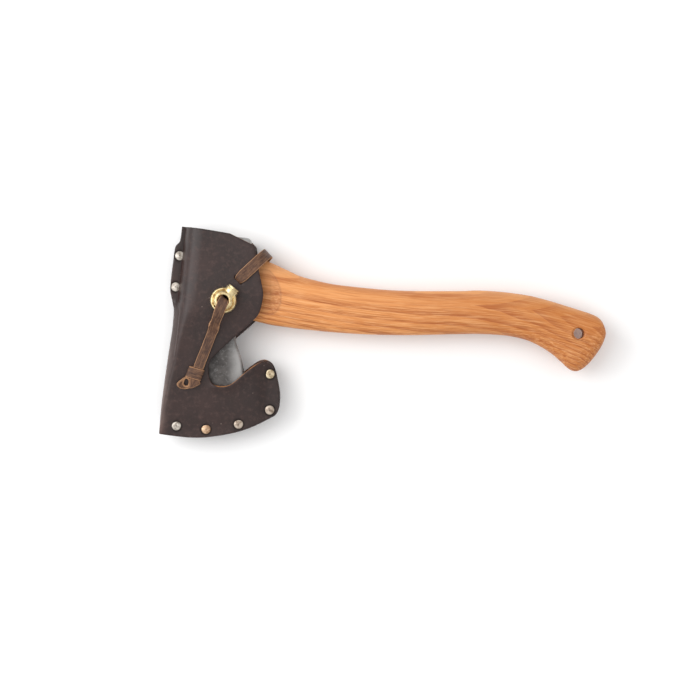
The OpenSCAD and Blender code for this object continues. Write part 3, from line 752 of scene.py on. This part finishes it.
LEATHER = 3.0
SHEATH_LEFT = spline([
    (-43.9, -134.4), (-44.3, -107), (-42.9, -64.7), (-41.7, -40), (-42.4, -20), (-45.6, -11.5),
    (-47.8, -4), (-48.2, 8), (-47.8, 22), (-47.2, 35.5), (-43.2, 41.5), (-42.7, 54.9)], 6)
SIDE = [(27.2, 43.3), (32.0, 24), (36.6, 10), (39.2, -1), (37.4, -16), (32.0, -25), (18.3, -39.8),
        (4.2, -55.6), (-3.6, -66.5), (-3.0, -79.5), (3.6, -87.4), (16.7, -85.6), (29.2, -73.3),
        (39.4, -63.9), (46.5, -61.0), (53.8, -64.6), (60.2, -78), (63.7, -92), (62.9, -105.5),
        (55.6, -112.8), (32.0, -126.4), (4.2, -135), (-16.9, -137.9), (-42.3, -137.5)]
FAR_SIDE = [(27.2, 43.3), (32.0, 24), (36.9, 10), (39.6, -1), (37.9, -16.3), (32.6, -25.7), (19.0, -40.6),
            (5.0, -56.4), (-2.4, -67), (-1.9, -78.3), (4.0, -85.6), (16.2, -83.8), (28.4, -71.7),
            (38.7, -62.2), (46.5, -59.4), (54.8, -63.6), (60.6, -78), (63.9, -92), (63.1, -105.7),
            (55.7, -113.2), (32.0, -126.8), (4.2, -135.3), (-16.9, -138.1), (-42.3, -137.7)]
# Way round from the fold's middle at which front() has its points, and where the panel begins:
# beyond it, flat x is u + PANEL_U.
AROUND = np.array([-2.6, 0, 2.6, 5.4, 8, 10.8, 13.9, 18.1, 22.3, 26, 28.8, 34, 40])
PANEL_START = 34
PANEL_U = 56.0
# The leather is folded below FOLD_END, and above FLANGE_START it is two riveted flanges.
FOLD_END = -24.0
FLANGE_START = -11.0
SLOT = 0.6
TOP = 54.9


def soft_min(a, b, k):
    """The smaller of two values, eased over about k where they cross."""
    m = np.minimum(a, b)
    return m - k * np.log(np.exp(-(a - m) / k) + np.exp(-(b - m) / k))


def ease(a, b, slope_a, slope_b, h, t):
    """Cubic from a to b over a step h, with those slopes at its ends."""
    return (a * (1 + 2 * t) * (1 - t) ** 2 + slope_a * h * t * (1 - t) ** 2
            + b * t * t * (3 - 2 * t) - slope_b * h * t * t * (1 - t))


def bend(x, table):
    """Smooth curve through (x, value) pairs."""
    xs, ys = np.array(table, float).T
    m = np.gradient(ys, xs)
    x = np.clip(x, xs[0], xs[-1])
    i = np.clip(np.searchsorted(xs, x) - 1, 0, len(xs) - 2)
    h = xs[i + 1] - xs[i]
    return ease(ys[i], ys[i + 1], m[i], m[i + 1], h, (x - xs[i]) / h)


# The panel's height over the middle plane: down the wedge of the blade, and across towards the
# heel, above and below HEEL_V.
SLOPE = math.radians(14)
DOWN = [(-170, 1.58), (-140, 1.58), (-127, 1.62), (-122, 2.2), (-116, 3.3), (-90, 7.0), (-60, 11.3),
        (-32, 15.2), (-16, 17.5), (-7, 18.2), (3, 18.3), (60, 18.3), (90, 18.3)]
ACROSS = [(-60, 30), (34, 30), (37, 24), (40.5, 17), (43.5, 11.0), (46, 6.4), (48, 3.6), (49.8, 2.1),
          (51.6, 1.6), (56, 1.56), (80, 1.56)]
ACROSS_LOW = [(-60, 30), (28, 30), (33, 12), (37, 8.4), (41, 6.3), (45, 4.2), (48, 2.7), (50.4, 1.75),
              (52.5, 1.56), (80, 1.56)]
HEEL_V = -58


def front(s, v):
    """Middle of the leather near the front of the head: u and z from the way round the fold."""
    left = np.interp(v, SHEATH_LEFT[:, 1], SHEATH_LEFT[:, 0])
    w = step(v, FOLD_END, FLANGE_START)
    wide = -40.2 - left
    flange_u = [left + wide * share for share in (-0.325, 0, 0.325, 0.675, 1)]
    flange_u += [np.full_like(left, u) for u in (-38.2, -37.0, -35.6, -33.6, -30.9, -28.4, -22, -16)]
    fold_u = [left + d for d in (2.0, 1.5, 2.0, 3.0, 4.2, 5.6, 7.2)]
    fold_u += [np.full_like(left, u) for u in (-34.4, -32.2, -29.6, -27.2, -22, -16)]
    flange_z = [1.55, 1.55, 1.55, 1.55, 1.6, 2.6, 5.2, 8.9, 12.6, 15.4, 16.8, 18.3, 18.6]
    fold_z = [-2.4, 0, 2.4, 4.6, 6.4, 8.4, 10.4, 12.6, 14.9, 16.6, 17.4, 18.4, 18.6]
    us = np.array(flange_u) * w + np.array(fold_u) * (1 - w)
    zs = np.array(flange_z)[:, None] * w + np.array(fold_z)[:, None] * (1 - w)
    i = np.clip(np.searchsorted(AROUND, s) - 1, 1, len(AROUND) - 3)
    pick = np.arange(len(s))
    h = AROUND[i + 1] - AROUND[i]
    out = []
    for a in (us, zs):
        before = (a[i + 1, pick] - a[i - 1, pick]) / (AROUND[i + 1] - AROUND[i - 1])
        after = (a[i + 2, pick] - a[i, pick]) / (AROUND[i + 2] - AROUND[i])
        out.append(ease(a[i, pick], a[i + 1, pick], before, after, h, (s - AROUND[i]) / h))
    return out


MOUTH = spline([(4.6, -87.2), (16.7, -85.6), (29.2, -73.3), (39.4, -63.9), (46.0, -61.2)], 6)


def mouth_distance(points):
    """How far points of the panel are from the heel pocket's mouth."""
    best = np.full(len(points), 1e3)
    for a, b in zip(MOUTH, MOUTH[1:]):
        t = np.clip(((points - a) @ (b - a)) / ((b - a) @ (b - a)), 0, 1)
        best = np.minimum(best, np.linalg.norm(points - a - t[:, None] * (b - a), axis=1))
    return best


def sheath_middle(flat):
    """Middle of the leather: flat x runs from 0 at the fold over the near panel, and the
    other way over the far one; flat y is v."""
    s, v = np.abs(flat[:, 0]), flat[:, 1]
    u, z = front(np.minimum(s, PANEL_START), v)
    u = np.where(s > PANEL_START, s - PANEL_U, u)
    down = -u * math.sin(SLOPE) + v * math.cos(SLOPE)
    z = soft_min(z, bend(down, DOWN), 0.5)
    z = soft_min(z, np.where(v < HEEL_V, bend(u, ACROSS_LOW), bend(u, ACROSS)), 0.7)
    z = z + 2.5 * np.exp(-(mouth_distance(np.column_stack([u, v])) / 4.4) ** 1.4)
    z = np.where(s < 0.001, 0, z)
    return np.column_stack([u, v, np.where(flat[:, 0] < 0, -z, z)])


def flat_x(u, v):
    """The flat x over the near panel at which the leather stands at u."""
    u, v = np.broadcast_arrays(np.atleast_1d(u).astype(float), np.atleast_1d(v).astype(float))
    low, high = np.zeros(u.shape), np.full(u.shape, float(PANEL_START))
    for _ in range(30):
        mid = (low + high) / 2
        over = front(mid, v)[0] > u
        low, high = np.where(over, low, mid), np.where(over, mid, high)
    return np.where(u > PANEL_START - PANEL_U, u + PANEL_U, (low + high) / 2)


def to_flat(points, sign=1):
    p = np.asarray(points, float)
    return np.column_stack([sign * flat_x(p[:, 0], p[:, 1]), p[:, 1]])


top_edge = [(-36, 54.7), (-24, 54.2), (-8, 53.3)]
near_edge = np.vstack([top_edge, [(3.0, 52.5), (22.9, 45.2), (26.0, 44.6)], spline(SIDE, 5)])
far_edge = np.vstack([top_edge, [(8, 49.6), (22.6, 47.6)], spline(FAR_SIDE, 5)])
up_slot = np.linspace(FOLD_END + 4, TOP, 40)
outline = np.vstack([
    [(SLOT, v) for v in up_slot],
    to_flat(near_edge),
    [(0, -134.6)],
    to_flat(far_edge, -1)[::-1],
    [(-SLOT, v) for v in reversed(up_slot)],
    [(-0.25, FOLD_END + 1), (0, FOLD_END), (0.25, FOLD_END + 1)],
])
outline = even(outline[::-1], 1.25)


def circle(x, y, r, count):
    """A closed clockwise loop, so that its inset widens the hole."""
    return np.array([(x + r * c, y - r * s) for c, s in around(count)])


def slot_loop(x, y, width, length, angle):
    """A long hole with round ends, clockwise too."""
    r = width / 2
    ca, sa = math.cos(angle), math.sin(angle)
    pts = []
    for c, s in around(28):
        px, py = r * c, -r * s + math.copysign(length / 2 - r, 1e-9 - s)
        pts.append((x + px * ca - py * sa, y + px * sa + py * ca))
    return np.array(pts)


rivet_spots = [np.array([flat_x(u, v)[0], v]) for u, v, _, _ in RIVETS.values()]
rivet_spots += [p * [-1, 1] for p in rivet_spots]
holes = [circle(p[0], p[1], 1.65, 12) for p in rivet_spots]
holes.append(circle(LOCK[0] + PANEL_U, LOCK[1], 4.7, 28))
slit_flat = slot_loop(SLIT[0] + PANEL_U, SLIT[1], 2.4, 9.2, STRAP)
holes.append(slit_flat)
holes.append((slit_flat * [-1, 1])[::-1])

# Points closer together where the leather bends and round each rivet
coarse = lattice((-130, -140), (130, 58), 2.3)
coarse = coarse[np.abs(coarse[:, 0]) > 35]
field = np.vstack([coarse, lattice((-36, -140), (36, 58), 1.15, 2.0)])
for spot in rivet_spots:
    away = np.linalg.norm(field - spot, axis=1)
    near = lattice(spot - 6.5, spot + 6.5, 1.05)
    near = near[np.linalg.norm(near - spot, axis=1) < 6.2]
    field = np.vstack([field[away > 6.8], near])


def rivet_distance(flat):
    return np.min([np.linalg.norm(flat - p, axis=1) for p in rivet_spots], axis=0)


plain_sheath = with_normals(sheath_middle)


def sheath_shape(flat):
    """The sheath with its slight waves and the dents that the rivets pull in."""
    p, n = plain_sheath(flat)
    wave = wobble(np.column_stack([p[:, 0], p[:, 1], np.sign(p[:, 2]) * 30]), 26) * 0.30
    wave += wobble(p, 7, 5.0) * 0.07
    calm = step(np.abs(p[:, 2]), 3.0, 9.0)
    dent = 0.70 * np.exp(-(rivet_distance(flat) / 5.4) ** 3) * step(np.abs(p[:, 2]), 0.2, 1.4)
    return p + n * (wave * calm - dent * 0.5)[:, None], n


def painted_crease_and_rivet_shade(places, verts):
    """Painted shade: dark rings round the rivet heads, over the dents they pull in, and a dark line in the
    crease along the flange's foot.
    """
    ring = 0.9 * np.exp(-(np.maximum(rivet_distance(places) - 4.6, 0) / 1.25) ** 2)
    foot = 0.60 * np.exp(-((np.abs(places[:, 0]) - 8.8) / 2.0) ** 2)
    return np.maximum(ring, foot * step(places[:, 1], FOLD_END, FLANGE_START))


def wear_and_sheen(places, verts):
    """Painted reflection: the fold is paler towards the bottom."""
    low = step(-places[:, 1], 20, 120)
    return 0.9 * low * np.exp(-(np.abs(places[:, 0]) / 9) ** 2) * (0.8 + 0.35 * wobble(verts, 11, 3.0))


def pale(ring):
    """The cut edge is palest in the heel pocket's mouth and at the top corner."""
    u = np.abs(ring[:, 0]) - PANEL_U
    mouth = step(u, 0, 8) * step(ring[:, 1], -92, -86) * step(-ring[:, 1], 57, 60) * step(-u, -52, -44)
    corner = step(ring[:, 1], 42, 46) * step(u, 0, 6)
    return np.clip(0.38 + mouth + corner, 0, 1)


sheath_verts, sheath_faces, sheath_values = hide_piece(
    outline, holes, sheath_shape, LEATHER, field, {"painted_shade": painted_crease_and_rivet_shade, "wear_and_sheen": wear_and_sheen}, pale)
sheath = make("sheath_hide", sheath_verts, sheath_faces, "sheath_leather", sheath_values, sharp=75)
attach(sheath, "sheath")
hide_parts("sheath_leather")

# ---- Rivets and burrs ----------------------------------------------------------------


def placed(x, y, z, angle=0.0, flip=1):
    """Puts local points at a place in the head's frame, turned about z."""
    def put(points):
        px, py, pz = (np.asarray(points, float) * [1, 1, flip]).T
        c, s = math.cos(angle), math.sin(angle)
        return world(np.column_stack([x + px * c - py * s, y + px * s + py * c, z + pz]))
    return put


# (radius, height) of a rivet's washer, round its section
WASHER = [(1.66, 0.12), (1.8, 0.0), (3.7, 0.0), (3.96, 0.16), (4.0, 0.4), (3.9, 0.72), (3.4, 0.92),
          (2.4, 1.0), (1.8, 0.98), (1.66, 0.86)]
DOME = [(4.4 * math.cos(a), 0.38 + 0.80 * math.sin(a)) for a in np.radians(range(5, 84, 6))]


for name, (u, v, seat, tint) in RIVETS.items():
    far = -2 * seat
    profile = [(1.35, far - 1.7), (1.9, far - 1.45), (2.3, far - 1.02), (1.6, far - 1.0), (1.6, -0.05),
               (4.05, 0.0), (4.36, 0.12), (4.42, 0.3), *DOME, (0.62, 1.15), (0.42, 0.98), (0.15, 0.92)]
    # Painted shade: the cap is darkened at its rim and in the dimple at its middle.
    rim = [0.75 * float(step(r, 3.7, 4.4)) + 0.6 * float(step(-r, -0.75, -0.4)) for r, _ in profile]
    head = lathe(name + "_cap", profile, 40, "rivet_" + tint, placed(u, v, seat), 50, rim)
    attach(head, "sheath")
    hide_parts(name)
    rings = [(r * c, r * s, z) for r, z in WASHER for c, s in around(40)]
    burr = make(name.replace("rivet", "burr") + "_washer", placed(u, v, -seat, 0, -1)(rings),
                loft(len(WASHER), 40, closed=True), "burr_copper", sharp=50)
    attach(burr, "sheath")
    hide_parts(name.replace("rivet", "burr"))

# ---- Cord lock -----------------------------------------------------------------------

in_lock = placed(*LOCK, BUTTON)
BORE_END, SPRING_END, TRAVEL = -9.4, -2.25, 2.2
WIRE, COIL_RADIUS, COIL_TURNS, COIL_STEPS = 0.4, 4.3, 3.5, 70


def on_button(points):
    """Turned shapes along the button's axis: local z becomes the button's axis."""
    p = np.asarray(points, float)
    return in_lock(np.column_stack([p[:, 2], p[:, 1], 7 - p[:, 0]]))


body_profile = [(4.7, 0.6), (5.1, 0.0), (9.6, 0.0), (10.5, 0.25), (11.2, 1.0), (11.75, 2.3), (12.0, 4.0),
                (12.0, 8.2), (11.9, 9.6), (11.55, 10.7), (10.95, 11.35), (10.3, 11.45), (9.95, 11.15),
                (9.6, 11.05), (9.25, 11.35), (9.0, 11.95), (8.6, 12.65), (8.0, 13.3), (7.2, 13.8),
                (6.4, 14.0), (5.7, 13.95), (5.1, 13.6), (4.75, 13.0), (4.7, 12.2)]
rings = [(r * c, r * s, z) for r, z in body_profile for c, s in around(112)]
lock = make("lock_shell", in_lock(rings), loft(len(body_profile), 112, closed=True), "lock_brass")
boss = lathe("boss", [(0.01, 5.9), (6.25, 5.9), (6.25, 11.6), (6.5, 11.9), (6.6, 12.4), (6.5, 12.9),
                      (6.3, 13.1), (0.01, 13.1)], 64, "lock_brass", on_button)
bore = lathe("bore", [(0.01, BORE_END), (5.48, BORE_END), (5.48, 11.3), (6.1, 11.4), (6.1, 15), (0.01, 15)],
             64, "lock_brass", on_button)
cut(lock, [boss], "UNION")
cut(lock, [bore])
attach(lock, "sheath")
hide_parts("lock_body")

plunger = lathe("lock_button_cap", [
    (0.3, -2.2), (4.9, -2.2), (5.4, -1.8), (5.4, 13.4), (5.45, 13.8), (5.75, 13.85), (5.95, 14.1),
    (5.98, 14.6), (5.8, 15.0), (5.2, 15.25), (3.0, 15.3), (0.3, 15.3)], 72, "button_brass", on_button)
notch = [(x, y, z) for z in (-4, 18) for x, y in ((0.45, -4), (5.2, -4), (5.2, 4), (0.45, 4))]
cut(plunger, [make("notch", in_lock(notch), loft(2, 4), "button_brass")])
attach(plunger, "lock_button")
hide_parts("lock_plunger")

# The spring: a coil from the bore's floor to the button's cap, whose end points are also found.
coil = []
for i in range(COIL_STEPS + 1):
    turn = 2 * math.pi * COIL_TURNS * i / COIL_STEPS
    middle = BORE_END + WIRE + 0.05 + (SPRING_END - BORE_END - 2 * WIRE - 0.05) * i / COIL_STEPS
    for c, s in around(8):
        arm = COIL_RADIUS + WIRE * c
        coil.append((arm * math.cos(turn), arm * math.sin(turn), middle + WIRE * s))
spring = make("lock_spring_coil", on_button(coil), loft(COIL_STEPS + 1, 8), "spring_steel")
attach(spring, "sheath")
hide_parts("lock_spring")
bore_floor, cap_side = on_button([(0, 0, BORE_END), (0, 0, SPRING_END)])
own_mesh(spring)

# ---- Axe head ------------------------------------------------------------------------

POLL = 50.3
SHOULDER = -22
BLADE = 78
BEVEL = 0.92
EDGE_U, EDGE_V, EDGE_RADIUS = -15.4, -37.2, 86.5
EYE_LONG, EYE_WIDE, EYE_V = 49, 17, 2.5
BEARD = spline([(27, -22), (21, -25.5), (17.2, -31), (16.8, -37), (18.8, -43.5), (24.4, -54.3),
                (30.4, -71.4), (36.6, -86), (44, -100)], 9)
# (v, value) from the shoulder to the poll: the block's front and back in u, and its half thickness
BLOCK_FRONT = [(-22, -31.5), (46.5, -31.5), (48.3, -31.1), (49.2, -30.5), (49.8, -29.8), (50.15, -29.0),
               (50.3, -28.2)]
BLOCK_BACK = [(-22, 27), (26, 27), (27, 26.6), (28, 25.8), (29.5, 24.5), (31, 23.6), (36, 23.0), (46.5, 22.5),
              (48.3, 22.2), (49.2, 21.6), (49.8, 20.8), (50.15, 20.0), (50.3, 19.2)]
BLOCK_HALF = [(-22, 14), (28, 14), (46.5, 13.2), (48.3, 12.9), (49.2, 12.4), (49.8, 11.8), (50.15, 11.2),
              (50.3, 10.6)]
BLOCK_V = [POLL, 50.15, 49.8, 49.2, 48.3, 46.5, 43.5, 40, 36, 33, 31, 29.5, 28, 27, 26,
           *np.linspace(24, -21, 22)]
COLS = 44

# Rows across the head: share of the way down the blade, v if it is level, front, back, half thickness
rows = []
for v in BLOCK_V:
    rows.append((0.0, v, *(float(np.interp(v, *zip(*t))) for t in (BLOCK_FRONT, BLOCK_BACK, BLOCK_HALF))))
for u_back, v_back in BEARD:
    t = (SHOULDER - v_back) / BLADE
    if t < BEVEL:
        half = 2 + 12 * (1 - t / BEVEL) ** 1.6
    else:
        half = 2 - 1.85 * ((t - BEVEL) / (1 - BEVEL)) ** 0.9
    rows.append((t, None, -31.5 - 5.5 * t ** 1.5, u_back, half))
corner = [(math.sin(a), math.cos(a)) for a in np.radians([0, 22, 45, 68, 90])]
head_verts, ground = [], []
for t, level, front_u, back_u, half in rows:
    r = min(2.6, half * 0.55, (back_u - front_u) * 0.1)
    upper = [(front_u + r * (1 - c), half - r * (1 - s)) for c, s in reversed(corner)]
    upper += [(front_u + r + (back_u - front_u - 2 * r) * k / COLS, half) for k in range(1, COLS)]
    upper += [(back_u - r * (1 - c), half - r * (1 - s)) for c, s in corner]
    for u, z in upper + [(u, -z) for u, z in reversed(upper)]:
        edge = EDGE_V - math.sqrt(EDGE_RADIUS ** 2 - (u - EDGE_U) ** 2)
        v = level if level is not None else SHOULDER + (edge - SHOULDER) * t
        head_verts.append((u, v, z))
        ground.append(float(step(t, 0.905, 0.925)))
head_verts = np.array(head_verts)
ground = np.array(ground)
forged = (1 - ground) * (wobble(head_verts, 9) * 0.16 + wobble(head_verts, 3.2, 7) * 0.05)
head_verts[:, 2] += forged * np.sign(head_verts[:, 2])
ring_size = len(head_verts) // len(rows)
head_faces = loft(len(rows), ring_size, caps=False)
for base in (0, (len(rows) - 1) * ring_size):
    for k in range(ring_size // 2 - 1):
        head_faces.append((base + k, base + k + 1, base + ring_size - 2 - k, base + ring_size - 1 - k))
axe = make("axe_head_forging", world(head_verts), head_faces, "forged_steel", {"ground": ground})


def eye_prism(name, spans, material):
    """A prism along u with the eye's oval section; spans are (u, growth) pairs."""
    pts = []
    for u, grow_by in spans:
        r = EYE_WIDE / 2 + grow_by
        for c, s in around(64, 0.5):
            pts.append((u, EYE_V + (r * c + math.copysign((EYE_LONG - EYE_WIDE) / 2, c)), r * s))
    return make(name, world(pts), loft(len(spans), 64), material)


eye_tool = eye_prism("eye_tool", [(-40, 3.0), (-32.2, 0.9), (-31.2, 0.35), (-30.2, 0.06), (25.6, 0.06),
                                  (26.6, 0.4), (27.6, 1.2), (36, 4)], "forged_steel")
cut(axe, [eye_tool], sharp=34)
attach(axe, "axe")
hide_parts("axe_head")

# ---- Handle --------------------------------------------------------------------------

# (x, top, bottom, half thickness) along the handle
stations = spline([
    (-127, 69.5, 12.4, 10.5), (-112, 67.0, 8.5, 11.5), (-102, 63.5, 6.2, 12.2), (-88, 57.0, 4.2, 12.3),
    (-74, 50.8, 2.4, 12.0), (-48, 44.4, -0.2, 11.6), (-23, 41.2, -2.0, 11.4), (2, 38.8, -2.9, 11.4),
    (27, 37.7, -3.1, 11.6), (71, 37.6, -2.2, 12.0), (88, 38.1, -2.0, 12.2), (106, 37.2, -2.8, 12.4),
    (122, 35.4, -4.8, 12.5), (138, 32.8, -9.6, 12.6), (154, 28.6, -18.6, 12.8), (165, 25.3, -27.8, 13.0),
    (172, 23.1, -34.2, 13.1), (178, 21.2, -36.4, 13.2), (184, 19.3, -34.6, 13.1), (191, 17.0, -28.7, 12.6),
    (198, 13.9, -19.8, 11.6), (202.5, 9.6, -12.6, 10.2), (205, 4.0, -6.4, 8.2), (205.75, 0, -3, 6)], 9)
SIDES = 144
ROUND = 2 / 2.4
END_Y = -1.5
at_x = np.union1d(stations[:, 0], np.arange(-106, -86, 0.6))
stations = np.column_stack([at_x] + [np.interp(at_x, stations[:, 0], stations[:, k]) for k in (1, 2, 3)])
grip, dark = [], []
for x, high, low, half in stations:
    # The neck's sides are flat, up to a facet whose edge is darker.
    limit = 9.2 + 0.28 * max(0.0, x + 103.4) if x < -80 else 50.0
    for c, s in around(SIDES, 0.5):
        y = (high + low) / 2 + (high - low) / 2 * math.copysign(abs(c) ** ROUND, c)
        z = half * abs(s) ** ROUND
        over = z - limit
        dark.append(0.20 * float(step(over, -0.05, 0.25)) + 0.16 * math.exp(-((over - 0.15) / 0.30) ** 2))
        grip.append((x, y, EYE[2] + math.copysign(float(soft_min(z, limit, 0.05)), s)))
for shrink, out in ((0.7, 0.15), (0.35, 0.22)):
    for x, y, z in grip[(len(stations) - 1) * SIDES:len(stations) * SIDES]:
        grip.append((x + out, END_Y + (y - END_Y) * shrink, EYE[2] + (z - EYE[2]) * shrink))
        dark.append(0.1)
handle = make("handle_grip", np.array(grip) * MM, loft(len(stations) + 2, SIDES), "hickory", {"shade": dark})
# What lies in the head is cut off and a tongue put there, with its slot, its groove and the hole.
slab = [(u, v, z) for z in (-40, 40) for u, v in ((-90, -80), (27.2, -80), (27.2, 90), (-90, 90))]
slab = make("slab", world(slab), loft(2, 4), "hickory")
tongue = eye_prism("tongue", [(-32.3, -0.25), (-31.9, 0), (30, 0)], "hickory")
wedge_box = [(u, v, z) for v in (-16.5, 21.5)
             for u, z in ((-33.3, -2.35), (-33.3, 2.35), (4, 0.4), (4, -0.4))]
wedge_box = make("wedge_box", world(wedge_box), loft(2, 4), "hickory")
groove = [(u, EYE_V + r * c, r * s) for r, u in ((5.08, -34), (6.53, -34), (6.53, -20.3), (5.08, -20.3))
          for c, s in around(48)]
groove = make("groove", world(groove), loft(4, 48, closed=True), "hickory")
hole_profile = [(7.0, -20), (7.0, -12.7), (6.35, -12.4), (5.0, -11.3)]
hole_profile += [(r, -z) for r, z in reversed(hole_profile)]
hole = lathe("hole", hole_profile, 64, "hickory", lambda p: (p + HANG) * MM)
cut(handle, [slab])
cut(handle, [tongue], "UNION")
cut(handle, [wedge_box, groove, hole], sharp=32)
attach(handle, "axe")
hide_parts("handle")

# ---- CAD nodes that stay: wedge and ring ----------------------------------------------

for name, material in (("eye_wedge", "wedge_wood"), ("ring_wedge", "wedge_steel")):
    for slot in frame["nodes"][name].material_slots:
        slot.material = MATERIALS[material]

# ---- Floor, light and colour ---------------------------------------------------------

SKY_LOW, SKY_HIGH = 0.42, 0.98
AIM = Vector((-0.03, 0, 0))

floor_mesh = bpy.data.meshes.new("floor")
floor_mesh.from_pydata([(-4, -4, 0), (4, -4, 0), (4, 4, 0), (-4, 4, 0)], [], [(0, 1, 2, 3)])
floor = bpy.data.objects.new("floor", floor_mesh)
bpy.context.scene.collection.objects.link(floor)
paint = Shade("floor")
floor_mesh.materials.append(
    paint.finish(Base_Color=(0.96, 0.96, 0.96), Roughness=0.9, Specular_IOR_Level=0.1))
floor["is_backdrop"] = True

sky = bpy.data.worlds.new("studio")
sky.use_nodes = True
nodes, links = sky.node_tree.nodes, sky.node_tree.links
toward = nodes.new("ShaderNodeTexCoord")
split = nodes.new("ShaderNodeSeparateXYZ")
glow = nodes.new("ShaderNodeMapRange")
glow.inputs["From Max"].default_value = 0.7
glow.inputs["To Min"].default_value = SKY_LOW
glow.inputs["To Max"].default_value = SKY_HIGH
links.new(toward.outputs["Generated"], split.inputs[0])
links.new(split.outputs["Z"], glow.inputs["Value"])
links.new(glow.outputs[0], nodes["Background"].inputs["Strength"])
nodes["Background"].inputs["Color"].default_value = (1, 1, 1, 1)
bpy.context.scene.world = sky
for name, at, size, power in (("key", (-1.45, 0.55, 1.05), 1.3, 14), ("high", (-1.0, 0.35, 1.7), 1.2, 8)):
    lamp = bpy.data.lights.new(name, "AREA")
    lamp.size = size
    lamp.energy = power
    obj = bpy.data.objects.new(name, lamp)
    obj.location = at
    obj.rotation_mode = "QUATERNION"
    obj.rotation_quaternion = (AIM - Vector(at)).to_track_quat("-Z", "Y")
    bpy.context.scene.collection.objects.link(obj)
bpy.context.scene.view_settings.view_transform = "Standard"

low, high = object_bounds()
